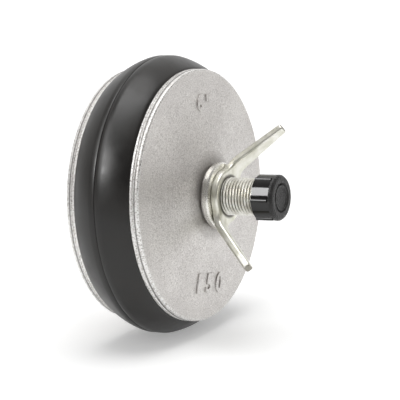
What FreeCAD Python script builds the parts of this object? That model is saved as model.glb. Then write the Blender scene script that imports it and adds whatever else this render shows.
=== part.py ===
# Pipe expansion plug for a 150 mm drain. Millimetres.
# Two dished cast plates squeeze a rubber ring between their rims. A wing nut on a
# hollow threaded spindle draws the plates together, and the ring swells against the
# pipe. The plug stands on its lock nut: +Z runs along the spindle, up to the cap.

import FreeCAD, Part
import math
import os
import Sketcher

# Driving sizes, one row each in the sheet of the document.
SIZES = {
    # Spindle: a half-inch pipe thread on a tube
    "thread_diameter": 20.955,
    "spindle_bore": 15.0,
    "spindle_length": 112.4,
    "spindle_chamfer": 1.0,
    # Lock nuts that clamp the rear plate on the spindle
    "nut_flats": 30.0,
    "nut_thickness": 7.5,
    "nut_chamfer_angle": 30.0,
    # Steel washers behind the rear plate and under the wing nut
    "washer_diameter": 37.0,
    "washer_thickness": 3.0,
    "washer_bevel": 0.8,
    # Flat gasket between the rear washer and the rear plate
    "gasket_diameter": 32.0,
    "gasket_thickness": 2.0,
    # Cast plates, both from one mould
    "plate_diameter": 140.0,
    "rim_thickness": 5.2,
    "rim_round": 1.2,
    "rim_land": 6.0,
    "mould_line": 1.6,
    "mould_groove": 0.5,
    "plate_height": 15.1,
    "plate_wall": 5.0,
    "boss_diameter": 34.0,
    "boss_step": 1.4,
    "boss_draft": 0.4,
    "inner_boss_diameter": 36.0,
    "hub_length": 12.0,
    "spigot_height": 4.0,
    "spigot_width": 3.6,
    "web_count": 6,
    "web_thickness": 4.0,
    # Rubber ring, drawn as squeezed by the tightened plug
    "ring_bore": 100.0,
    "ring_length": 34.45,
    "ring_edge_diameter": 140.8,
    "ring_crown_diameter": 155.2,
    "ring_crown_land": 3.0,
    "ring_slope_radius": 37.0,
    "ring_line_depth": 0.5,
    "ring_line_width": 1.0,
    # Wing nut, bent from one strip
    "strip_thickness": 4.2,
    "wing_disc_diameter": 30.0,
    "wing_bend_start": 12.0,
    "wing_bend_radius": 11.5,
    "wing_bend_angle": 44.5,
    "wing_length": 29.5,
    "wing_root_width": 15.0,
    "wing_tip_width": 5.0,
    "wing_fillet": 9.0,
    "wing_edge_round": 1.3,
    "wing_turn": -25.0,
    # Plastic cap on the outlet, with its flat seal
    "cap_diameter": 25.2,
    "cap_length": 12.6,
    "cap_end": 2.4,
    "cap_shoulder": 2.2,
    "cap_ring_diameter": 16.4,
    "cap_groove_width": 1.3,
    "cap_groove_depth": 0.8,
    "cap_dish_diameter": 11.0,
    "cap_dish_depth": 0.5,
    "cap_rib_count": 6,
    "cap_rib_width": 1.9,
    "cap_rib_height": 0.8,
    "cap_rib_length": 9.8,
    "cap_turn": -82.0,
    "seal_thickness": 1.6,
    # Clearances, each measured on the radius
    "thread_clearance": 0.05,
    "hole_clearance": 0.3,
    "ring_clearance": 0.3,
    "seal_clearance": 0.3,
}


class Size:
    """A length or angle that knows its value and its formula on the sheet."""

    def __init__(self, value, formula):
        self.value = value
        self.formula = formula

    @staticmethod
    def of(other):
        return other if isinstance(other, Size) else Size(other, f"({other})")

    def __add__(self, other):
        other = Size.of(other)
        return Size(self.value + other.value, f"({self.formula} + {other.formula})")

    def __sub__(self, other):
        other = Size.of(other)
        return Size(self.value - other.value, f"({self.formula} - {other.formula})")

    def __mul__(self, other):
        other = Size.of(other)
        return Size(self.value * other.value, f"({self.formula} * {other.formula})")

    def __truediv__(self, other):
        other = Size.of(other)
        return Size(self.value / other.value, f"({self.formula} / {other.formula})")

    def __neg__(self):
        return Size(-self.value, f"(0 - {self.formula})")


def root(size):
    return Size(math.sqrt(size.value), f"sqrt({size.formula})")


def sine(angle):
    return Size(math.sin(math.radians(angle.value)), f"sin({angle.formula})")


def cosine(angle):
    return Size(math.cos(math.radians(angle.value)), f"cos({angle.formula})")


def tangent(angle):
    return Size(math.tan(math.radians(angle.value)), f"tan({angle.formula})")


def size(name):
    return Size(SIZES[name], f"Sizes.{name}")


def half(name):
    return size(name) / 2


ZERO = Size(0.0, "(0)")


# The document, its sheet and the helpers that draw on it

doc = FreeCAD.newDocument("expansion_plug")
sheet = doc.addObject("Spreadsheet::Sheet", "Sizes")
for row, (name, value) in enumerate(SIZES.items(), start=1):
    sheet.set(f"A{row}", name)
    sheet.set(f"B{row}", str(value))
    sheet.setAlias(f"B{row}", name)
doc.recompute()

pieces = []


def new_piece(label, height, turn=ZERO, flipped=False):
    """Start a piece whose own zero sits at this height on the spindle's axis."""
    body = doc.addObject("PartDesign::Body", label)
    body.Label = label
    if flipped:
        body.Placement.Rotation = FreeCAD.Rotation(FreeCAD.Vector(1, 0, 0), 180)
    else:
        body.Placement.Rotation = FreeCAD.Rotation(FreeCAD.Vector(0, 0, 1), turn.value)
        body.setExpression("Placement.Rotation.Angle", turn.formula)
    body.setExpression("Placement.Base.z", height.formula)
    pieces.append(body)
    return body


def origin_feature(body, role):
    return next(item for item in body.Origin.OriginFeatures if item.Role == role)


def new_sketch(body, name, plane):
    sketch = body.newObject("Sketcher::SketchObject", name)
    sketch.AttachmentSupport = [(origin_feature(body, plane), "")]
    sketch.MapMode = "FlatFace"
    return sketch


def constrain(sketch, kind, where, wanted):
    index = sketch.addConstraint(Sketcher.Constraint(kind, *where, wanted.value))
    sketch.setExpression(f"Constraints[{index}]", wanted.formula)


def bowed(start, end, radius, turn):
    """The short arc from start to end, turning left or right on the way."""
    chord = end - start
    side = 1 if turn == "left" else -1
    outward = FreeCAD.Vector(chord.y, -chord.x, 0).normalize() * side
    rise = radius - math.sqrt(radius ** 2 - (chord.Length / 2) ** 2)
    return Part.Arc(start, (start + end) / 2 + outward * rise, end)


def draw_loop(sketch, corners):
    """Close a loop through corners (across, up) or (across, up, radius, turn)."""
    points = [FreeCAD.Vector(corner[0].value, corner[1].value, 0) for corner in corners]
    ends = []
    for number, corner in enumerate(corners):
        start = points[number]
        end = points[(number + 1) % len(points)]
        if len(corner) == 2:
            line = sketch.addGeometry(Part.LineSegment(start, end), False)
            ends.append((line, 1, 2))
            continue
        arc = sketch.addGeometry(bowed(start, end, corner[2].value, corner[3]), False)
        forward = sketch.getPoint(arc, 1).isEqual(start, 1e-6)
        ends.append((arc, 1, 2) if forward else (arc, 2, 1))
        constrain(sketch, "Radius", (arc,), corner[2])
    for number, (edge, first, last) in enumerate(ends):
        following, next_first, _ = ends[(number + 1) % len(ends)]
        sketch.addConstraint(Sketcher.Constraint("Coincident", edge, last, following, next_first))
        constrain(sketch, "DistanceX", (edge, first), corners[number][0])
        constrain(sketch, "DistanceY", (edge, first), corners[number][1])


def draw_circle(sketch, radius):
    centre = FreeCAD.Vector(0, 0, 0)
    circle = sketch.addGeometry(Part.Circle(centre, FreeCAD.Vector(0, 0, 1), radius.value), False)
    sketch.addConstraint(Sketcher.Constraint("Coincident", circle, 3, -1, 1))
    constrain(sketch, "Radius", (circle,), radius)


def turned(body, kind, name, corners):
    """Revolve a loop of (radius, height) corners about the piece's own axis."""
    sketch = new_sketch(body, f"{name}_profile", "XZ_Plane")
    draw_loop(sketch, corners)
    feature = body.newObject(f"PartDesign::{kind}", name)
    feature.Profile = sketch
    feature.ReferenceAxis = (sketch, ["V_Axis"])
    feature.Angle = 360
    return feature


def pushed(body, kind, name, sketch, length, side="One side"):
    """Pad or pocket a sketch by a length, from one side of it or both."""
    feature = body.newObject(f"PartDesign::{kind}", name)
    feature.Profile = sketch
    feature.setExpression("Length", length.formula)
    feature.SideType = side
    return feature


def ring_of(body, name, feature, count):
    """Repeat a feature evenly round the piece's own axis."""
    pattern = body.newObject("PartDesign::PolarPattern", name)
    pattern.Originals = [feature]
    pattern.Axis = (origin_feature(body, "Z_Axis"), [""])
    pattern.Angle = 360
    pattern.setExpression("Occurrences", size(count).formula)
    body.Tip = pattern


def corner_angle(shape, edge):
    """The angle in degrees between the two faces that meet at an edge."""
    point = edge.valueAt((edge.FirstParameter + edge.LastParameter) / 2)
    normals = []
    for face in shape.ancestorsOfType(edge, Part.Face):
        normals.append(face.normalAt(*face.Surface.parameter(point)))
    return math.degrees(normals[0].getAngle(normals[1]))


def rounded(body, name, feature, radius):
    """Round every sharp edge that a feature leaves on its piece."""
    doc.recompute()
    shape = feature.Shape
    sharp = [
        f"Edge{number}"
        for number, edge in enumerate(shape.Edges, start=1)
        if corner_angle(shape, edge) > 10
    ]
    rounding = body.newObject("PartDesign::Fillet", name)
    rounding.Base = (feature, sharp)
    rounding.setExpression("Radius", radius.formula)


# Heights on the axis, from the face that the plug stands on

thread_radius = half("thread_diameter")
nut_top = size("nut_thickness")
washer_top = nut_top + size("washer_thickness")
hub_bottom = washer_top + size("gasket_thickness")
ring_bottom = hub_bottom + size("plate_height")
ring_top = ring_bottom + size("ring_length")
hub_top = ring_top + size("plate_height")
wing_bottom = hub_top + size("washer_thickness")
inner_nut_bottom = hub_bottom + size("hub_length")
seal_bottom = size("spindle_length")
cap_top = seal_bottom + size("seal_thickness") + size("cap_end")
cap_bottom = cap_top - size("cap_length")


def make_spindle():
    body = new_piece("spindle", ZERO)
    bore = half("spindle_bore")
    top = size("spindle_length")
    chamfer = size("spindle_chamfer")
    turned(body, "Revolution", "tube", [
        (bore, ZERO),
        (thread_radius - chamfer, ZERO),
        (thread_radius, chamfer),
        (thread_radius, top - chamfer),
        (thread_radius - chamfer, top),
        (bore, top),
    ])


def make_nut(label, height, flipped):
    """A hexagon nut, flat where it seats and chamfered on its outer face."""
    body = new_piece(label, height, flipped=flipped)
    flat = half("nut_flats")
    corner = flat / cosine(size("nut_chamfer_angle"))
    top = size("nut_thickness")
    hexagon = new_sketch(body, "hexagon", "XY_Plane")
    angles = [Size(60.0 * side, f"({60 * side})") for side in range(6)]
    draw_loop(hexagon, [(corner * cosine(angle), corner * sine(angle)) for angle in angles])
    pushed(body, "Pad", "blank", hexagon, top)
    hole = new_sketch(body, "hole", "XY_Plane")
    draw_circle(hole, thread_radius + size("thread_clearance"))
    bore = pushed(body, "Pocket", "bore", hole, top)
    bore.Reversed = True
    beyond = corner + size("hole_clearance")
    drop = (beyond - flat) * tangent(size("nut_chamfer_angle"))
    turned(body, "Groove", "chamfer", [(flat, top), (beyond, top - drop), (beyond, top)])


def make_washer(label, height, flipped):
    """A steel washer with a bevelled edge on the side that faces away."""
    body = new_piece(label, height, flipped=flipped)
    hole = thread_radius + size("hole_clearance")
    edge = half("washer_diameter")
    top = size("washer_thickness")
    bevel = size("washer_bevel")
    turned(body, "Revolution", "disc", [
        (hole, ZERO),
        (edge, ZERO),
        (edge, top - bevel),
        (edge - bevel, top),
        (hole, top),
    ])


def make_gasket():
    body = new_piece("rear_gasket", washer_top)
    hole = thread_radius + size("thread_clearance")
    edge = half("gasket_diameter")
    top = size("gasket_thickness")
    turned(body, "Revolution", "disc", [(hole, ZERO), (edge, ZERO), (edge, top), (hole, top)])


def make_plate(label, height, hole_clearance, flipped):
    """A dished plate: a flat rim that bears on the rubber and a trumpet up to the hub."""
    body = new_piece(label, height, flipped=flipped)
    edge = half("plate_diameter")
    rim = size("rim_thickness")
    rim_round = size("rim_round")
    land = edge - size("rim_land")
    boss = half("boss_diameter")
    boss_foot = boss + size("boss_draft")
    top = size("plate_height")
    rise = top - size("boss_step") - rim
    run = land - boss_foot
    sweep = (run * run + rise * rise) / (rise * 2)
    centre = rim + sweep
    inner_sweep = sweep + size("plate_wall")
    hole = thread_radius + hole_clearance
    inner_boss = half("inner_boss_diameter")
    hub_bottom = top - size("hub_length")
    spigot = half("ring_bore") - size("ring_clearance")
    spigot_inner = spigot - size("spigot_width")
    mould_line = size("mould_line")
    groove = size("mould_groove")

    def dish(radius, from_centre):
        """Height of the dished wall at a radius, on an arc about its own centre."""
        away = land - radius
        return centre - root(from_centre * from_centre - away * away)

    turned(body, "Revolution", "dish", [
        (hole, hub_bottom),
        (inner_boss, hub_bottom),
        (inner_boss, dish(inner_boss, inner_sweep), inner_sweep, "left"),
        (spigot_inner, dish(spigot_inner, inner_sweep)),
        (spigot_inner, -size("spigot_height")),
        (spigot, -size("spigot_height")),
        (spigot, ZERO),
        (edge, ZERO),
        (edge, mould_line - groove),
        (edge - groove, mould_line),
        (edge, mould_line + groove),
        (edge, rim - rim_round, rim_round, "left"),
        (edge - rim_round, rim),
        (land, rim, sweep, "right"),
        (boss_foot, top - size("boss_step")),
        (boss, top),
        (hole, top),
    ])
    middle = sweep + size("plate_wall") / 2
    web_inner = inner_boss - size("plate_wall") / 2
    web_outer = spigot_inner + size("spigot_width") / 2
    web = new_sketch(body, "web_profile", "XZ_Plane")
    draw_loop(web, [
        (web_inner, hub_bottom + size("boss_step")),
        (web_outer, ZERO),
        (web_outer, dish(web_outer, middle), middle, "right"),
        (web_inner, dish(web_inner, middle)),
    ])
    first = pushed(body, "Pad", "web", web, size("web_thickness"), "Symmetric")
    ring_of(body, "webs", first, "web_count")


def make_seal_ring():
    body = new_piece("seal_ring", ring_bottom)
    bore = half("ring_bore")
    edge = half("ring_edge_diameter")
    crown = half("ring_crown_diameter")
    length = size("ring_length")
    middle = length / 2
    land = half("ring_crown_land")
    depth = size("ring_line_depth")
    line = half("ring_line_width")
    slope = size("ring_slope_radius")
    turned(body, "Revolution", "bulge", [
        (bore, ZERO),
        (edge, ZERO, slope, "left"),
        (crown, middle - land),
        (crown, middle - line),
        (crown - depth, middle),
        (crown, middle + line),
        (crown, middle + land, slope, "left"),
        (edge, length),
        (bore, length),
    ])


def make_wing_nut():
    """A strip with a threaded disc in its middle and both ends bent up as wings."""
    body = new_piece("wing_nut", wing_bottom, turn=size("wing_turn"))
    strip = size("strip_thickness")
    start = size("wing_bend_start")
    inner = size("wing_bend_radius")
    outer = inner + strip
    angle = size("wing_bend_angle")
    length = size("wing_length")
    outer_end = (start + outer * sine(angle), outer - outer * cosine(angle))
    inner_end = (start + inner * sine(angle), outer - inner * cosine(angle))
    outer_tip = (outer_end[0] + length * cosine(angle), outer_end[1] + length * sine(angle))
    inner_tip = (inner_end[0] + length * cosine(angle), inner_end[1] + length * sine(angle))
    side = new_sketch(body, "bend_profile", "XZ_Plane")
    draw_loop(side, [
        (-start, ZERO),
        (start, ZERO, outer, "left"),
        outer_end,
        outer_tip,
        inner_tip,
        (inner_end[0], inner_end[1], inner, "right"),
        (start, strip),
        (-start, strip, inner, "right"),
        (-inner_end[0], inner_end[1]),
        (-inner_tip[0], inner_tip[1]),
        (-outer_tip[0], outer_tip[1]),
        (-outer_end[0], outer_end[1], outer, "left"),
    ])
    disc = half("wing_disc_diameter")
    pushed(body, "Pad", "strip", side, size("wing_disc_diameter"), "Symmetric")

    # The outline seen from above: each wing's straight side meets the disc in a fillet.
    reach = outer_tip[0] + strip
    taper = (size("wing_root_width") - size("wing_tip_width")) / 2 / outer_tip[0]
    slant = root(taper * taper + 1)
    fillet = size("wing_fillet")
    offset = half("wing_root_width") / slant
    along = root((disc + fillet) * (disc + fillet) - (offset + fillet) * (offset + fillet))
    on_side = ((offset * taper + along) / slant, (offset - along * taper) / slant)
    centre = (on_side[0] + fillet * taper / slant, on_side[1] + fillet / slant)
    on_disc = (centre[0] * disc / (disc + fillet), centre[1] * disc / (disc + fillet))
    tip = (reach, half("wing_root_width") - reach * taper)
    border = reach + disc
    outline = new_sketch(body, "outline", "XY_Plane")
    draw_loop(outline, [
        tip,
        (on_side[0], on_side[1], fillet, "right"),
        (on_disc[0], on_disc[1], disc, "left"),
        (ZERO, disc, disc, "left"),
        (-on_disc[0], on_disc[1], fillet, "right"),
        (-on_side[0], on_side[1]),
        (-tip[0], tip[1]),
        (-tip[0], -tip[1]),
        (-on_side[0], -on_side[1], fillet, "right"),
        (-on_disc[0], -on_disc[1], disc, "left"),
        (ZERO, -disc, disc, "left"),
        (on_disc[0], -on_disc[1], fillet, "right"),
        (on_side[0], -on_side[1]),
        (tip[0], -tip[1]),
    ])
    draw_loop(outline, [(border, border), (-border, border), (-border, -border), (border, -border)])
    trim = pushed(body, "Pocket", "trim", outline, border * 2, "Symmetric")
    rounded(body, "edge_rounding", trim, size("wing_edge_round"))
    hole = new_sketch(body, "hole", "XY_Plane")
    draw_circle(hole, thread_radius + size("thread_clearance"))
    pushed(body, "Pocket", "bore", hole, border, "Symmetric")


def make_cap_seal():
    body = new_piece("cap_seal", seal_bottom)
    edge = thread_radius + size("thread_clearance") - size("seal_clearance")
    top = size("seal_thickness")
    turned(body, "Revolution", "disc", [(ZERO, ZERO), (edge, ZERO), (edge, top), (ZERO, top)])


def make_cap():
    """A moulded cap: a ringed end, a threaded skirt and grip ribs round it."""
    body = new_piece("outlet_cap", cap_bottom, turn=size("cap_turn"))
    edge = half("cap_diameter")
    top = size("cap_length")
    inside = thread_radius + size("thread_clearance")
    roof = top - size("cap_end")
    shoulder = size("cap_shoulder")
    ring = half("cap_ring_diameter")
    groove = ring - size("cap_groove_width")
    depth = size("cap_groove_depth")
    dish = half("cap_dish_diameter")
    turned(body, "Revolution", "cup", [
        (inside, ZERO),
        (edge, ZERO),
        (edge, top - shoulder, shoulder, "left"),
        (edge - shoulder, top),
        (ring, top),
        (ring - size("cap_groove_width") / 2, top - depth),
        (groove, top),
        (dish, top - size("cap_dish_depth")),
        (ZERO, top - size("cap_dish_depth")),
        (ZERO, roof),
        (inside, roof),
    ])
    rib_half = half("cap_rib_width")
    crest = edge + size("cap_rib_height")
    buried = (edge + inside) / 2
    rib = new_sketch(body, "rib_section", "XY_Plane")
    draw_loop(rib, [
        (buried, -rib_half),
        (crest - rib_half, -rib_half, rib_half, "left"),
        (crest, ZERO, rib_half, "left"),
        (crest - rib_half, rib_half),
        (buried, rib_half),
    ])
    first = pushed(body, "Pad", "rib", rib, size("cap_rib_length"))
    ring_of(body, "ribs", first, "cap_rib_count")


make_spindle()
make_nut("rear_lock_nut", nut_top, flipped=True)
make_washer("rear_washer", washer_top, flipped=True)
make_gasket()
make_plate("rear_plate", ring_bottom, size("thread_clearance"), flipped=True)
make_nut("inner_lock_nut", inner_nut_bottom, flipped=False)
make_seal_ring()
make_plate("front_plate", ring_top, size("hole_clearance"), flipped=False)
make_washer("thrust_washer", hub_top, flipped=False)
make_wing_nut()
make_cap_seal()
make_cap()
doc.recompute()

# Nothing is written unless every feature and every piece is sound.

for item in doc.Objects:
    if "Invalid" in item.State or "Error" in item.State:
        raise RuntimeError(f"{item.Label} failed: {item.State}")
for body in pieces:
    cuts = [item for item in body.Group if item.isDerivedFrom("PartDesign::Feature")]
    for before, after in zip(cuts, cuts[1:]):
        if abs(after.Shape.Volume - before.Shape.Volume) < 1e-6:
            raise RuntimeError(f"{after.Label} changed nothing on {body.Label}")
    if body.Shape.isNull() or not body.Shape.isValid() or len(body.Shape.Solids) != 1:
        raise RuntimeError(f"{body.Label} is not one sound solid")

os.makedirs("parts", exist_ok=True)
for body in pieces:
    body.Shape.exportStep(f"parts/{body.Label}.step")
    print(body.Label, round(body.Shape.Volume), body.Shape.BoundBox)
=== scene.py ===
"""Looks for a pipe expansion plug.

Two dished cast plates squeeze a rubber ring between them along a hollow threaded spindle.
"""
import math

import bmesh
import bpy
from mathutils import Matrix, Vector


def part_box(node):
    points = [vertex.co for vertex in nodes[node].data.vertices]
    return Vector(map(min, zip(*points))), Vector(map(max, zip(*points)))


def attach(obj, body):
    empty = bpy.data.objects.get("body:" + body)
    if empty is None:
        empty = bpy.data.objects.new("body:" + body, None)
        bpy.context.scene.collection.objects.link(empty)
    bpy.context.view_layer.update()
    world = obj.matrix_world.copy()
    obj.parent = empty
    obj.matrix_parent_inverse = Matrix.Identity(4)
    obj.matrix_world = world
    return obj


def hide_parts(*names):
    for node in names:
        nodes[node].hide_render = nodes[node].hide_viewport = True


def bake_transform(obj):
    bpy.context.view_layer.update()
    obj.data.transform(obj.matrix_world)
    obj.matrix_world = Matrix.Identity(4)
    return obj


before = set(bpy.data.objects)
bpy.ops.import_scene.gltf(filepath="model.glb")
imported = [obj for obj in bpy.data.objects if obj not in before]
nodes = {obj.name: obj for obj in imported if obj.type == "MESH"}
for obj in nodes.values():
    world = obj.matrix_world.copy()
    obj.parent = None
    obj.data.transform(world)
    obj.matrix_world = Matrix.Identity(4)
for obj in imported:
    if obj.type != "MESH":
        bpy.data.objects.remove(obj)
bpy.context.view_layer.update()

MM = 0.001

# Sizes in millimetres, as in the part's own source.
RING_BORE_RADIUS = 50.0
RING_EDGE_RADIUS = 70.4
RING_CROWN_RADIUS = 77.6
RING_LENGTH = 34.45
RING_CROWN_LAND = 3.0
RING_SLOPE_RADIUS = 37.0
THREAD_RADIUS = 10.4775
THREAD_PITCH = 1.814
THREAD_DEPTH = 1.162
SPINDLE_BORE_RADIUS = 7.5
SPINDLE_END_CHAMFER = 1.3
DISH_SWEEP_RADIUS = 131.99
DISH_LAND_RADIUS = 64.0
RIM_THICKNESS = 5.2

# The way a wing points: outward and up, at the angle that the strip is bent to.
WING_BEND = math.radians(44.5)
WING_WAY = Vector((math.cos(WING_BEND), 0, math.sin(WING_BEND)))

# Sizes in millimetres that only the looks need.
RING_EDGE_EASE = 0.24
RING_FACE_INSET = 2.0
BORE_CHAMFER = 0.4
MOULD_LINE_OUTSIDE = 2.9
DIGIT_RELIEF = 0.5
DIGIT_EDGE_ROUND = 0.2
DIGIT_SWELL = 0.3
# The ring's parting line, as depth and distance from its middle, from its lip to its bottom.
RING_LINE_FORM = ((0.0, 0.39), (0.06, 0.3), (0.32, 0.09), (0.4, 0.0))

# How far out the thread stands at eight places along one pitch, with the rounded root first.
THREAD_FORM = (0.0, 0.14, 0.5, 0.86, 1.0, 0.86, 0.5, 0.14)
# Turns of the thread that start under the spindle's lower end and are pressed flat on it.
SPARE_TURNS = 2

RING_COLUMNS = 192
THREAD_COLUMNS = 64

# A digit's height as a share of its font size, and the font's letter spacing for wide casting digits.
DIGIT_SHARE = 0.7
DIGIT_SPACING = 1.6


# ---------------------------------------------------------------- materials

# A noise pattern seldom leaves these values, so a change of look runs between them.
NOISE_SPAN = {"From Min": 0.3, "From Max": 0.7}


def linear(hex_colour):
    """An sRGB hex colour as the linear values that a shader takes."""
    channels = [int(hex_colour[i:i + 2], 16) / 255 for i in (1, 3, 5)]
    return [c / 12.92 if c <= 0.04045 else ((c + 0.055) / 1.055) ** 2.4 for c in channels] + [1.0]


def per_mm(size):
    """The pattern scale that gives features of this size in millimetres."""
    return 1 / (size * MM)


def between(start, end):
    """The two places in millimetres between which a look changes, as sockets of a Map Range node."""
    return {"From Min": start * MM, "From Max": end * MM}


def add_node(tree, kind, sockets=(), stops=(), **settings):
    """Adds one node with its settings. A socket takes a plain value or another node's output.
    Stops are the (place, hex colour) pairs of a colour ramp. A Mix node's sockets share their
    names and go by number: 0 is the share, 6 and 7 are its colours, 2 and 3 its plain values."""
    node = tree.nodes.new(kind)
    for name, value in settings.items():
        setattr(node, name, value)
    for socket, value in dict(sockets).items():
        if isinstance(value, bpy.types.NodeSocket):
            tree.links.new(value, node.inputs[socket])
        else:
            node.inputs[socket].default_value = value
    for number, (place, colour) in enumerate(stops):
        elements = node.color_ramp.elements
        element = elements[number] if number < 2 else elements.new(place)
        element.position = place
        element.color = linear(colour)
    return node


def start_material(name):
    """An empty material, its node tree, and the place on the object that its patterns follow."""
    material = bpy.data.materials.new(name)
    material.use_nodes = True
    material.node_tree.nodes.clear()
    place = add_node(material.node_tree, "ShaderNodeTexCoord").outputs["Object"]
    return material, material.node_tree, place


def axis_distance(tree, place):
    """How far a place on the object lies from the plug's axis."""
    flat = add_node(tree, "ShaderNodeVectorMath", {0: place, 1: (1, 1, 0)}, operation="MULTIPLY")
    return add_node(tree, "ShaderNodeVectorMath", {0: flat.outputs[0]}, operation="LENGTH").outputs["Value"]


def ring_middle():
    """The height of the middle of the rubber ring, in metres."""
    low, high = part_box("seal_ring")
    return (low.z + high.z) / 2


def cast_aluminium():
    """Aluminium alloy, sand cast, tumbled and left bare: a pale satin grey with a grainy skin.
    The grains are light and dark flecks, the light ones partly a painted sparkle. The rim is
    painted brighter, partly rubbed wear and partly a painted highlight with painted glints, and
    a painted dark line of shade lies in the mould's groove. A painted shade darkens the dish
    round the washer."""
    material, tree, place = start_material("cast_aluminium")
    # Foundry sand is 0.2 to 0.3 mm, too fine to show in the render: its grains are drawn at
    # 0.7 mm and the shallow waves between them at 2.4 mm. The wide clouds are oxide.
    grain = add_node(tree, "ShaderNodeTexNoise", {
        "Vector": place, "Scale": per_mm(0.7), "Detail": 3.0, "Roughness": 0.6})
    skin = add_node(tree, "ShaderNodeTexNoise", {
        "Vector": place, "Scale": per_mm(2.4), "Detail": 3.0, "Roughness": 0.55})
    cloud = add_node(tree, "ShaderNodeTexNoise", {"Vector": place, "Scale": per_mm(24), "Detail": 2.0})
    tone = add_node(tree, "ShaderNodeValToRGB", {"Fac": cloud.outputs["Fac"]},
                    stops=[(0.35, "#c8c4c2"), (0.65, "#dcd9d6")])
    # Light and dark flecks of grain, the light ones partly a painted sparkle.
    fleck_and_sparkle = add_node(tree, "ShaderNodeValToRGB", {"Fac": grain.outputs["Fac"]},
                     stops=[(0.3, "#96928f"), (0.5, "#d4d1ce"), (0.7, "#f6f5f2")])
    grain_and_sparkle = add_node(tree, "ShaderNodeMix", {
        0: 0.6, 6: tone.outputs[0], 7: fleck_and_sparkle.outputs[0]}, data_type="RGBA")
    # A painted shade darkens the dish in a dull halo round the washer, where the washer and the wing nut
    # shade it.
    radius = axis_distance(tree, place)
    washer_shade_mask = add_node(tree, "ShaderNodeMapRange", {
        "Value": radius, **between(18.5, 26), "To Min": 0.75, "To Max": 0.0})
    shaded_round_washer = add_node(tree, "ShaderNodeMix", {
        0: washer_shade_mask.outputs[0], 6: grain_and_sparkle.outputs[2], 7: linear("#85817d")}, data_type="RGBA")
    # The outermost millimetre or two of the rim is painted lighter, partly rubbed wear and partly a painted
    # highlight, and white glints are painted on its grains.
    rim_wear_and_highlight = add_node(tree, "ShaderNodeMapRange", {"Value": radius, **between(68.4, 69.6), "To Max": 0.7})
    painted_rim_glint = add_node(tree, "ShaderNodeValToRGB", {"Fac": grain.outputs["Fac"]},
                     stops=[(0.36, "#8d8985"), (0.46, "#f0eeea"), (0.56, "#ffffff")])
    bright = add_node(tree, "ShaderNodeMix", {
        0: rim_wear_and_highlight.outputs[0], 6: shaded_round_washer.outputs[2], 7: painted_rim_glint.outputs[0]}, data_type="RGBA")
    # Both plates carry the mould line on the rim, a little outside the ring's end face. Its dark line is
    # painted shade in the mould's groove.
    height = add_node(tree, "ShaderNodeSeparateXYZ", {"Vector": place}).outputs["Z"]
    from_ring = add_node(tree, "ShaderNodeMath", {0: height, 1: ring_middle()}, operation="SUBTRACT")
    from_ring = add_node(tree, "ShaderNodeMath", {0: from_ring.outputs[0]}, operation="ABSOLUTE")
    from_line = add_node(tree, "ShaderNodeMath", {
        0: from_ring.outputs[0], 1: (RING_LENGTH / 2 + MOULD_LINE_OUTSIDE) * MM}, operation="SUBTRACT")
    from_line = add_node(tree, "ShaderNodeMath", {0: from_line.outputs[0]}, operation="ABSOLUTE")
    line = add_node(tree, "ShaderNodeMapRange", {
        "Value": from_line.outputs[0], **between(0.3, 0.6), "To Min": 1.0, "To Max": 0.0})
    line = add_node(tree, "ShaderNodeMath", {0: line.outputs[0], 1: rim_wear_and_highlight.outputs[0]},
                    operation="MULTIPLY")
    colour = add_node(tree, "ShaderNodeMix", {
        0: line.outputs[0], 6: bright.outputs[2], 7: linear("#45423f")}, data_type="RGBA")
    roughness = add_node(tree, "ShaderNodeMapRange", {
        "Value": skin.outputs["Fac"], **NOISE_SPAN, "To Min": 0.32, "To Max": 0.56})
    waves = add_node(tree, "ShaderNodeBump", {"Height": skin.outputs["Fac"], "Distance": 0.2 * MM})
    pitted = add_node(tree, "ShaderNodeBump", {
        "Height": grain.outputs["Fac"], "Distance": 0.12 * MM, "Normal": waves.outputs[0]})
    metal = add_node(tree, "ShaderNodeBsdfPrincipled", {
        "Base Color": colour.outputs[2], "Metallic": 0.92, "Roughness": roughness.outputs[0],
        "Normal": pitted.outputs[0]})
    add_node(tree, "ShaderNodeOutputMaterial", {"Surface": metal.outputs[0]})
    return material


def bright_zinc():
    """Electroplated zinc on turned steel: bright and cool, with the soft blotches of the bath."""
    material, tree, place = start_material("bright_zinc")
    blotch = add_node(tree, "ShaderNodeTexNoise", {"Vector": place, "Scale": per_mm(5), "Detail": 3.0})
    # The turned and tumbled marks are under 0.1 mm, too fine to show: they are drawn at 0.5 mm.
    brush = add_node(tree, "ShaderNodeTexNoise", {"Vector": place, "Scale": per_mm(0.5), "Detail": 2.0})
    colour = add_node(tree, "ShaderNodeValToRGB", {"Fac": blotch.outputs["Fac"]},
                      stops=[(0.35, "#dcdad4"), (0.65, "#f0efea")])
    roughness = add_node(tree, "ShaderNodeMapRange", {
        "Value": brush.outputs["Fac"], **NOISE_SPAN, "To Min": 0.2, "To Max": 0.34})
    marks = add_node(tree, "ShaderNodeBump", {"Height": brush.outputs["Fac"], "Distance": 0.012 * MM})
    metal = add_node(tree, "ShaderNodeBsdfPrincipled", {
        "Base Color": colour.outputs[0], "Metallic": 0.88, "Roughness": roughness.outputs[0],
        "Normal": marks.outputs[0]})
    add_node(tree, "ShaderNodeOutputMaterial", {"Surface": metal.outputs[0]})
    return material


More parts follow.
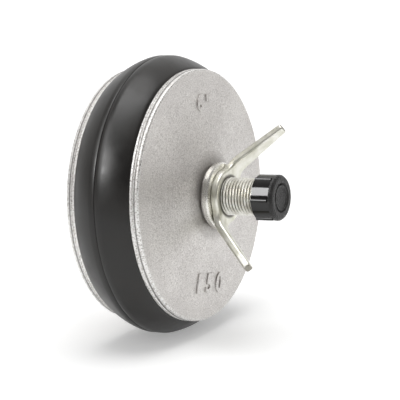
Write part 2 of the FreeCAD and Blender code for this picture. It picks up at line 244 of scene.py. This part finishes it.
def zinc_thread_oil_and_painted_shade():
    """The same zinc on a cut thread: painted bright on the crests as a highlight, and dull, dark and
    brownish in the roots, partly oil and partly painted shade."""
    material, tree, place = start_material("zinc_thread_oil_and_painted_shade")
    blotch = add_node(tree, "ShaderNodeTexNoise", {"Vector": place, "Scale": per_mm(4), "Detail": 3.0})
    crest = add_node(tree, "ShaderNodeMapRange", {
        "Value": axis_distance(tree, place), **between(THREAD_RADIUS - THREAD_DEPTH, THREAD_RADIUS - 0.2)})
    # A painted highlight on the crests, and painted shade with some oil in the roots.
    depth = add_node(tree, "ShaderNodeValToRGB", {"Fac": crest.outputs[0]},
                     stops=[(0.0, "#26231e"), (0.2, "#8a877c"), (0.4, "#ffffff")])
    tone = add_node(tree, "ShaderNodeValToRGB", {"Fac": blotch.outputs["Fac"]},
                    stops=[(0.35, "#cfccc2"), (0.65, "#f2f1ec")])
    colour = add_node(tree, "ShaderNodeMix", {0: 1.0, 6: depth.outputs[0], 7: tone.outputs[0]},
                      data_type="RGBA", blend_type="MULTIPLY")
    roughness = add_node(tree, "ShaderNodeMapRange", {
        "Value": crest.outputs[0], "To Min": 0.5, "To Max": 0.28})
    metal = add_node(tree, "ShaderNodeBsdfPrincipled", {
        "Base Color": colour.outputs[2], "Metallic": 0.5, "Roughness": roughness.outputs[0]})
    add_node(tree, "ShaderNodeOutputMaterial", {"Surface": metal.outputs[0]})
    return material


def passivated_zinc():
    """Pressed steel strip, zinc plated and passivated: a bright skin with a faint yellow green
    cast, slightly uneven from the press. It is darker round the bore, and greyer at the
    wings' ends."""
    material, tree, place = start_material("passivated_zinc")
    blotch = add_node(tree, "ShaderNodeTexNoise", {"Vector": place, "Scale": per_mm(6), "Detail": 3.0})
    skin = add_node(tree, "ShaderNodeTexNoise", {"Vector": place, "Scale": per_mm(2), "Detail": 2.0})
    plated = add_node(tree, "ShaderNodeValToRGB", {"Fac": blotch.outputs["Fac"]},
                      stops=[(0.3, "#cfcebf"), (0.52, "#e5e4d9"), (0.7, "#f2f1eb")])
    radius = axis_distance(tree, place)
    # Darker round the bore.
    bore_darkening = add_node(tree, "ShaderNodeMapRange", {
        "Value": radius, **between(11.4, 12.6), "To Min": 0.85, "To Max": 0.0})
    darkened_round_bore = add_node(tree, "ShaderNodeMix", {
        0: bore_darkening.outputs[0], 6: plated.outputs[0], 7: linear("#3c3831")}, data_type="RGBA")
    # How far a point lies out along a wing, from its radius and its height.
    height = add_node(tree, "ShaderNodeSeparateXYZ", {"Vector": place}).outputs["Z"]
    outward = add_node(tree, "ShaderNodeCombineXYZ", {"X": radius, "Z": height})
    along = add_node(tree, "ShaderNodeVectorMath", {0: outward.outputs[0], 1: WING_WAY},
                     operation="DOT_PRODUCT")
    corners = [vertex.co for vertex in nodes["wing_nut"].data.vertices]
    reach = max(Vector((math.hypot(c.x, c.y), 0, c.z)).dot(WING_WAY) for c in corners) / MM
    # Greyer at the wings' ends.
    wing_end_greying = add_node(tree, "ShaderNodeMapRange", {
        "Value": along.outputs["Value"], **between(reach - 0.9, reach - 0.3), "To Max": 0.8})
    colour = add_node(tree, "ShaderNodeMix", {
        0: wing_end_greying.outputs[0], 6: darkened_round_bore.outputs[2], 7: linear("#807a6e")}, data_type="RGBA")
    roughness = add_node(tree, "ShaderNodeMapRange", {
        "Value": skin.outputs["Fac"], **NOISE_SPAN, "To Min": 0.3, "To Max": 0.44})
    uneven = add_node(tree, "ShaderNodeBump", {"Height": skin.outputs["Fac"], "Distance": 0.04 * MM})
    metal = add_node(tree, "ShaderNodeBsdfPrincipled", {
        "Base Color": colour.outputs[2], "Metallic": 0.88, "Roughness": roughness.outputs[0],
        "Normal": uneven.outputs[0]})
    add_node(tree, "ShaderNodeOutputMaterial", {"Surface": metal.outputs[0]})
    return material


def moulded_rubber():
    """Black natural rubber, moulded: a satin near-black under a thin, uneven greyish bloom."""
    material, tree, place = start_material("moulded_rubber")
    bloom = add_node(tree, "ShaderNodeTexNoise", {
        "Vector": place, "Scale": per_mm(14), "Detail": 4.0, "Roughness": 0.6})
    # The mould's own skin is about 0.1 mm, too fine to show: it is drawn at 0.6 mm.
    skin = add_node(tree, "ShaderNodeTexNoise", {"Vector": place, "Scale": per_mm(0.6), "Detail": 2.0})
    colour = add_node(tree, "ShaderNodeValToRGB", {"Fac": bloom.outputs["Fac"]},
                      stops=[(0.3, "#0d0b09"), (0.7, "#171410")])
    roughness = add_node(tree, "ShaderNodeMapRange", {
        "Value": bloom.outputs["Fac"], **NOISE_SPAN, "To Min": 0.3, "To Max": 0.44})
    fine = add_node(tree, "ShaderNodeBump", {"Height": skin.outputs["Fac"], "Distance": 0.02 * MM})
    rubber = add_node(tree, "ShaderNodeBsdfPrincipled", {
        "Base Color": colour.outputs[0], "Roughness": roughness.outputs[0], "IOR": 1.52,
        "Normal": fine.outputs[0]})
    add_node(tree, "ShaderNodeOutputMaterial", {"Surface": rubber.outputs[0]})
    return material


def sheet_rubber():
    """Rubber gasket, cut from sheet: matt and dark grey, with a fine cloth print."""
    material, tree, place = start_material("sheet_rubber")
    # The print's threads are about 0.3 mm, too fine to show: they are drawn at 0.5 mm.
    skin = add_node(tree, "ShaderNodeTexNoise", {"Vector": place, "Scale": per_mm(0.5), "Detail": 2.0})
    colour = add_node(tree, "ShaderNodeValToRGB", {"Fac": skin.outputs["Fac"]},
                      stops=[(0.3, "#242322"), (0.7, "#302f2d")])
    fine = add_node(tree, "ShaderNodeBump", {"Height": skin.outputs["Fac"], "Distance": 0.03 * MM})
    rubber = add_node(tree, "ShaderNodeBsdfPrincipled", {
        "Base Color": colour.outputs[0], "Roughness": 0.68, "IOR": 1.52, "Normal": fine.outputs[0]})
    add_node(tree, "ShaderNodeOutputMaterial", {"Surface": rubber.outputs[0]})
    return material


def black_polyamide():
    """Black polyamide moulded in a polished tool: deep gloss, with very faint flow waves. The end
    and its shoulder came from a sparked part of the tool: dull, with a field of fine dots."""
    material, tree, place = start_material("black_polyamide")
    wave = add_node(tree, "ShaderNodeTexNoise", {"Vector": place, "Scale": per_mm(7), "Detail": 1.0})
    colour = add_node(tree, "ShaderNodeValToRGB", {"Fac": wave.outputs["Fac"]},
                      stops=[(0.3, "#0a0909"), (0.7, "#100f0f")])
    glossy = add_node(tree, "ShaderNodeMapRange", {
        "Value": wave.outputs["Fac"], **NOISE_SPAN, "To Min": 0.08, "To Max": 0.14})
    height = add_node(tree, "ShaderNodeSeparateXYZ", {"Vector": place}).outputs["Z"]
    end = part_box("outlet_cap")[1].z / MM
    sparked = add_node(tree, "ShaderNodeMapRange", {"Value": height, **between(end - 2.3, end - 2.0)})
    roughness = add_node(tree, "ShaderNodeMix", {
        0: sparked.outputs[0], 2: glossy.outputs[0], 3: 0.42}, data_type="FLOAT")
    flow = add_node(tree, "ShaderNodeBump", {"Height": wave.outputs["Fac"], "Distance": 0.02 * MM})
    # Sparked pits are about 0.1 mm, too fine to show: they are drawn at 1.1 mm.
    dots = add_node(tree, "ShaderNodeTexVoronoi", {
        "Vector": place, "Scale": per_mm(1.1), "Randomness": 0.5})
    dotted = add_node(tree, "ShaderNodeBump", {
        "Height": dots.outputs["Distance"], "Distance": 0.45 * MM, "Strength": sparked.outputs[0],
        "Normal": flow.outputs[0]})
    plastic = add_node(tree, "ShaderNodeBsdfPrincipled", {
        "Base Color": colour.outputs[0], "Roughness": roughness.outputs[0], "IOR": 1.53,
        "Normal": dotted.outputs[0]})
    add_node(tree, "ShaderNodeOutputMaterial", {"Surface": plastic.outputs[0]})
    return material


FINISHES = {
    "cast_alloy": cast_aluminium(),
    "zinc_plate": bright_zinc(),
    "wing_zinc": passivated_zinc(),
    "ring_rubber": moulded_rubber(),
    "gasket_rubber": sheet_rubber(),
    "cap_plastic": black_polyamide(),
}

CARRIED_OVER = {
    "front_plate": "cast_alloy",
    "rear_plate": "cast_alloy",
    "rear_lock_nut": "zinc_plate",
    "inner_lock_nut": "zinc_plate",
    "rear_washer": "zinc_plate",
    "thrust_washer": "zinc_plate",
    "wing_nut": "wing_zinc",
    "rear_gasket": "gasket_rubber",
    "cap_seal": "gasket_rubber",
    "outlet_cap": "cap_plastic",
}

for node_name, finish in CARRIED_OVER.items():
    for slot in nodes[node_name].material_slots:
        slot.material = FINISHES[finish]


# ------------------------------------------------------------------- pieces

def make_piece(name, points, faces, finish, material=None):
    """A mesh piece from points in millimetres, dressed in the finish of its slot or in its own."""
    mesh = bpy.data.meshes.new(name)
    mesh.from_pydata([Vector(p) * MM for p in points], [], faces)
    work = bmesh.new()
    work.from_mesh(mesh)
    bmesh.ops.remove_doubles(work, verts=work.verts, dist=0.002 * MM)
    bmesh.ops.dissolve_degenerate(work, edges=work.edges, dist=0.001 * MM)
    bmesh.ops.recalc_face_normals(work, faces=work.faces)
    for face in work.faces:
        face.smooth = True
    work.to_mesh(mesh)
    work.free()
    piece = bpy.data.objects.new(name, mesh)
    bpy.context.scene.collection.objects.link(piece)
    mesh.materials.append(material or FINISHES[finish])
    return piece


def sharpen(piece, degrees):
    """Keeps edges sharper than this angle crisp while the rest is shaded smooth."""
    work = bmesh.new()
    work.from_mesh(piece.data)
    for edge in work.edges:
        if len(edge.link_faces) == 2:
            edge.smooth = edge.calc_face_angle(0.0) < math.radians(degrees)
    work.to_mesh(piece.data)
    work.free()


def arc(start, end, radius, steps):
    """Points from start to end along a curve of this radius, its centre on the left of the way."""
    (x0, z0), (x1, z1) = start, end
    chord = math.hypot(x1 - x0, z1 - z0)
    rise = math.sqrt(radius ** 2 - chord ** 2 / 4)
    centre = ((x0 + x1) / 2 - (z1 - z0) / chord * rise, (z0 + z1) / 2 + (x1 - x0) / chord * rise)
    a0 = math.atan2(z0 - centre[1], x0 - centre[0])
    a1 = math.atan2(z1 - centre[1], x1 - centre[0])
    if a1 < a0:
        a1 += 2 * math.pi
    angles = [a0 + (a1 - a0) * i / steps for i in range(steps + 1)]
    return [(centre[0] + radius * math.cos(a), centre[1] + radius * math.sin(a)) for a in angles]


def straight(start, end, steps):
    """Points along a straight run, both ends included."""
    return [tuple(a + (b - a) * i / steps for a, b in zip(start, end)) for i in range(steps + 1)]


def spin(profile, columns):
    """Points and faces of a closed profile of (radius, height) spun once round the axis."""
    points, faces = [], []
    rows = len(profile)
    for column in range(columns):
        turn = 2 * math.pi * column / columns
        points += [(r * math.cos(turn), r * math.sin(turn), z) for r, z in profile]
    for column in range(columns):
        here, after = column * rows, (column + 1) % columns * rows
        for row in range(rows):
            up = (row + 1) % rows
            faces.append((here + row, after + row, after + up, here + up))
    return points, faces


def make_seal_ring():
    """The rubber ring bulges between the plates. Its parting line runs round the crown."""
    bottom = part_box("seal_ring")[0].z / MM
    middle = RING_LENGTH / 2
    land = (RING_CROWN_RADIUS, middle - RING_CROWN_LAND)
    slope = arc((RING_EDGE_RADIUS, 0), land, RING_SLOPE_RADIUS, 14)
    slope[0] = (RING_EDGE_RADIUS - RING_EDGE_EASE, 0.0)
    groove = [(RING_CROWN_RADIUS - depth, middle - away) for depth, away in RING_LINE_FORM]
    crown = straight(land, groove[0], 2)[1:-1]
    lower_half = slope + crown + groove
    upper_half = [(r, RING_LENGTH - z) for r, z in reversed(lower_half[:-1])]
    face_edge = RING_EDGE_RADIUS - RING_FACE_INSET
    top_face = straight((face_edge, RING_LENGTH), (RING_BORE_RADIUS, RING_LENGTH), 3)
    bore = straight((RING_BORE_RADIUS, RING_LENGTH), (RING_BORE_RADIUS, 0), 12)[1:]
    low_face = straight((RING_BORE_RADIUS, 0), (face_edge, 0), 3)[1:]
    profile = [(r, z + bottom) for r, z in lower_half + upper_half + top_face + bore + low_face]
    points, faces = spin(profile, RING_COLUMNS)
    piece = make_piece("rubber_seal_ring", points, faces, "ring_rubber")
    sharpen(piece, 50)
    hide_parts("seal_ring")
    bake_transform(piece)
    return piece


def make_threaded_spindle():
    """A length of hollow steel pipe threaded from end to end, with chamfered ends."""
    low, high = (corner.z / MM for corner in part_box("spindle"))
    turns = [2 * math.pi * column / THREAD_COLUMNS for column in range(THREAD_COLUMNS)]
    places = len(THREAD_FORM)
    rows = (math.ceil((high - low) / THREAD_PITCH) + SPARE_TURNS) * places
    end_radius = THREAD_RADIUS - SPINDLE_END_CHAMFER
    points, faces = [], []
    for row in range(rows + places):
        for column, turn in enumerate(turns):
            height = low + (row / places + column / THREAD_COLUMNS - SPARE_TURNS) * THREAD_PITCH
            height = min(max(height, low), high)
            threaded = THREAD_RADIUS - THREAD_DEPTH + THREAD_DEPTH * THREAD_FORM[row % places]
            radius = min(threaded, end_radius + min(height - low, high - height))
            points.append((radius * math.cos(turn), radius * math.sin(turn), height))
    # Going once round, a row arrives one pitch higher, so its last face joins that higher row.
    for row in range(rows):
        for column in range(THREAD_COLUMNS):
            here = row * THREAD_COLUMNS + column
            last = column == THREAD_COLUMNS - 1
            side = (row + places) * THREAD_COLUMNS if last else here + 1
            faces.append((here, side, side + THREAD_COLUMNS, here + THREAD_COLUMNS))
    # The bore and the two end rims close the tube.
    loops = [(end_radius, low),
             (SPINDLE_BORE_RADIUS + BORE_CHAMFER, low), (SPINDLE_BORE_RADIUS, low + BORE_CHAMFER),
             (SPINDLE_BORE_RADIUS, high - BORE_CHAMFER), (SPINDLE_BORE_RADIUS + BORE_CHAMFER, high),
             (end_radius, high)]
    first = len(points)
    for radius, height in loops:
        points += [(radius * math.cos(turn), radius * math.sin(turn), height) for turn in turns]
    for loop in range(len(loops) - 1):
        here = first + loop * THREAD_COLUMNS
        above = here + THREAD_COLUMNS
        for column in range(THREAD_COLUMNS):
            side = (column + 1) % THREAD_COLUMNS
            faces.append((here + column, here + side, above + side, above + column))
    piece = make_piece("threaded_spindle", points, faces, "zinc_plate", zinc_thread_oil_and_painted_shade())
    sharpen(piece, 60)
    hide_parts("spindle")
    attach(piece, "root")
    return piece


def dish_height(radius):
    """How high the outer face of the front plate stands above the ring at this radius."""
    inward = max(DISH_LAND_RADIUS - radius, 0.0)
    return RIM_THICKNESS + DISH_SWEEP_RADIUS - math.sqrt(DISH_SWEEP_RADIUS ** 2 - inward ** 2)


def make_cast_number(name, text, height, middle):
    """Raised digits of the nominal size, cast with the front plate and read with the plug on its
    side. They follow the dish."""
    curve = bpy.data.curves.new(name + "_line", "FONT")
    curve.body = text
    curve.size = height / DIGIT_SHARE
    curve.align_x = "CENTER"
    curve.align_y = "CENTER"
    curve.space_character = DIGIT_SPACING
    curve.extrude = DIGIT_RELIEF
    curve.bevel_depth = DIGIT_EDGE_ROUND
    curve.offset = DIGIT_SWELL
    curve.bevel_resolution = 2
    curve.resolution_u = 6
    written = bpy.data.objects.new(name + "_line", curve)
    bpy.context.scene.collection.objects.link(written)
    bpy.context.view_layer.update()
    flat = bpy.data.meshes.new_from_object(written.evaluated_get(bpy.context.evaluated_depsgraph_get()))
    bpy.data.objects.remove(written)
    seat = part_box("seal_ring")[1].z / MM
    points = []
    for vertex in flat.vertices:
        x, y = middle[0] - vertex.co.y, middle[1] + vertex.co.x
        points.append((x, y, seat + dish_height(math.hypot(x, y)) + vertex.co.z))
    faces = [tuple(face.vertices) for face in flat.polygons]
    piece = make_piece(name, points, faces, "cast_alloy")
    sharpen(piece, 40)
    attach(piece, "front_plate_body")


seal_ring = make_seal_ring()
spindle = make_threaded_spindle()
make_cast_number("size_in_millimetres", "150", 10.5, (49.5, 8.0))
make_cast_number("size_in_inches", '6"', 8.5, (-50.5, -3.5))


# ------------------------------------------------------- floor, light, camera

# The camera's place in metres and its own axes in the plug's frame.
CAMERA_PLACE = (-0.01389, -0.96887, 0.60811)
VIEW_BACK = Vector((-0.01495, -0.87241, 0.48854)).normalized()
VIEW_UP = VIEW_BACK.cross(Vector((-0.02668, 0.48877, 0.87200))).normalized()
VIEW_RIGHT = VIEW_UP.cross(VIEW_BACK)

# The camera looks down on the table at this angle.
CAMERA_RISE = math.radians(12)
FLOOR_UP = VIEW_UP * math.cos(CAMERA_RISE) + VIEW_BACK * math.sin(CAMERA_RISE)
FLOOR_HALF = 4.0
FLOOR_GLOW = 0.3

# Where a gloss panel stands, what it aims at, and its size, all in metres.
BESIDE_CAP = (-0.093, -0.175, 0.012), (0, 0, 0.11), (0.14, 0.07)
BESIDE_RING = (-0.20, -0.54, 0.05), (-0.02, -0.075, 0.05), (0.12, 0.05)


def make_floor():
    """A plain white table under the plug, which lies on the crown of its ring as in the photograph.
    It keeps the shadow, is white for the camera and for reflections, and isn't there from behind."""
    material, tree, _ = start_material("white_table")
    path = add_node(tree, "ShaderNodeLightPath").outputs
    seen = add_node(tree, "ShaderNodeMath", {
        0: path["Is Camera Ray"], 1: path["Is Glossy Ray"]}, operation="MAXIMUM")
    seen = add_node(tree, "ShaderNodeMath", {
        0: seen.outputs[0], 1: path["Is Transmission Ray"]}, operation="MAXIMUM")
    lift = add_node(tree, "ShaderNodeMath", {0: seen.outputs[0], 1: FLOOR_GLOW}, operation="MULTIPLY")
    table = add_node(tree, "ShaderNodeBsdfDiffuse", {"Color": linear("#f2f2f2")})
    glow = add_node(tree, "ShaderNodeEmission", {"Color": linear("#ffffff"), "Strength": lift.outputs[0]})
    both = add_node(tree, "ShaderNodeAddShader", {0: table.outputs[0], 1: glow.outputs[0]})
    behind = add_node(tree, "ShaderNodeNewGeometry").outputs["Backfacing"]
    clear = add_node(tree, "ShaderNodeBsdfTransparent")
    sided = add_node(tree, "ShaderNodeMixShader", {0: behind, 1: both.outputs[0], 2: clear.outputs[0]})
    add_node(tree, "ShaderNodeOutputMaterial", {"Surface": sided.outputs[0]})
    mesh = bpy.data.meshes.new("white_table")
    corners = [(x * FLOOR_HALF, y * FLOOR_HALF, 0) for x, y in ((-1, -1), (1, -1), (1, 1), (-1, 1))]
    mesh.from_pydata(corners, [], [(0, 1, 2, 3)])
    mesh.materials.append(material)
    floor = bpy.data.objects.new("white_table", mesh)
    bpy.context.scene.collection.objects.link(floor)
    outward = Vector((FLOOR_UP.x, FLOOR_UP.y, 0)).normalized() * RING_CROWN_RADIUS * MM
    touch = Vector((0, 0, ring_middle())) - outward
    floor.matrix_world = Matrix.Translation(touch) @ FLOOR_UP.to_track_quat("Z", "Y").to_matrix().to_4x4()


def make_room():
    """A pale studio: soft light from all round, plain white where the camera looks past the table.
    Reflections find the same white behind the plug and a dim room behind the camera, which draws
    the dish."""
    world = bpy.data.worlds.new("pale_studio")
    bpy.context.scene.world = world
    world.use_nodes = True
    tree = world.node_tree
    tree.nodes.clear()
    path = add_node(tree, "ShaderNodeLightPath").outputs
    seen = add_node(tree, "ShaderNodeMath", {
        0: path["Is Camera Ray"], 1: path["Is Transmission Ray"]}, operation="MAXIMUM")
    # 0 is straight ahead of the camera and 1 is straight behind it.
    where = add_node(tree, "ShaderNodeTexCoord").outputs["Generated"]
    depth = add_node(tree, "ShaderNodeVectorMath", {0: where, 1: VIEW_BACK / 2}, operation="DOT_PRODUCT")
    depth = add_node(tree, "ShaderNodeMath", {0: depth.outputs["Value"], 1: 0.5}, operation="ADD")
    walls = add_node(tree, "ShaderNodeValToRGB", {"Fac": depth.outputs[0]}, stops=[
        (0.1, "#ffffff"), (0.3, "#e4e2e0"), (0.5, "#b4b2b0"), (0.72, "#8a8886"), (1.0, "#7a7876")])
    soft = add_node(tree, "ShaderNodeBackground", {"Color": linear("#f8f8f7"), "Strength": 0.5})
    mirrored = add_node(tree, "ShaderNodeBackground", {"Color": walls.outputs[0]})
    white = add_node(tree, "ShaderNodeBackground", {"Color": linear("#ffffff")})
    lit = add_node(tree, "ShaderNodeMixShader", {
        0: path["Is Glossy Ray"], 1: soft.outputs[0], 2: mirrored.outputs[0]})
    chosen = add_node(tree, "ShaderNodeMixShader", {
        0: seen.outputs[0], 1: lit.outputs[0], 2: white.outputs[0]})
    add_node(tree, "ShaderNodeOutputWorld", {"Surface": chosen.outputs[0]})


def make_lamp(kind, name, place, aim, **settings):
    """A lamp of this kind at a place in metres, facing the point it aims at."""
    light = bpy.data.lights.new(name, kind)
    for setting, value in settings.items():
        setattr(light, setting, value)
    lamp = bpy.data.objects.new(name, light)
    bpy.context.scene.collection.objects.link(lamp)
    back = Vector(place) - Vector(aim)
    lamp.matrix_world = Matrix.Translation(place) @ back.to_track_quat("Z", "Y").to_matrix().to_4x4()
    lamp.visible_camera = False
    return lamp


def make_gloss_panel(name, piece, place, aim, size, watts):
    """A panel that draws a highlight on one piece, or on all of them, and adds no other light."""
    width, depth = size
    panel = make_lamp("AREA", name, place, aim, shape="RECTANGLE", size=width, size_y=depth, energy=watts)
    panel.visible_diffuse = False
    if piece:
        lit = bpy.data.collections.new(name)
        lit.objects.link(piece)
        panel.light_linking.receiver_collection = lit


def make_camera():
    """A long lens, 1.1 m away, rolled so that the plug's axis runs across the frame."""
    data = bpy.data.cameras.new("camera")
    data.lens = 180.0
    data.sensor_width = 36.0
    data.clip_start, data.clip_end = 0.05, 50.0
    turn = Matrix((VIEW_RIGHT, VIEW_UP, VIEW_BACK)).transposed().to_4x4()
    camera = bpy.data.objects.new("camera", data)
    camera.matrix_world = Matrix.Translation(CAMERA_PLACE) @ turn
    bpy.context.scene.collection.objects.link(camera)
    bpy.context.scene.camera = camera


make_floor()
make_room()
make_lamp("SUN", "overhead_light", FLOOR_UP, (0, 0, 0), energy=1.55, angle=math.radians(46))
# A low panel beside the plug draws the long bands on the cap and the thread. The flat edges of the
# wing nut would mirror it whole, so those two have a panel of their own each and a weak twin lights
# the rest.
make_gloss_panel("cap_gloss_panel", nodes["outlet_cap"], *BESIDE_CAP, watts=0.36)
make_gloss_panel("thread_gloss_panel", spindle, *BESIDE_CAP, watts=2.0)
make_gloss_panel("side_gloss_panel", None, *BESIDE_CAP, watts=0.08)
# One further off draws the small oval highlight on the ring's crown, beside its parting line.
make_gloss_panel("ring_gloss_panel", seal_ring, *BESIDE_RING, watts=1.1)
make_camera()

bpy.context.scene.view_settings.view_transform = "Standard"
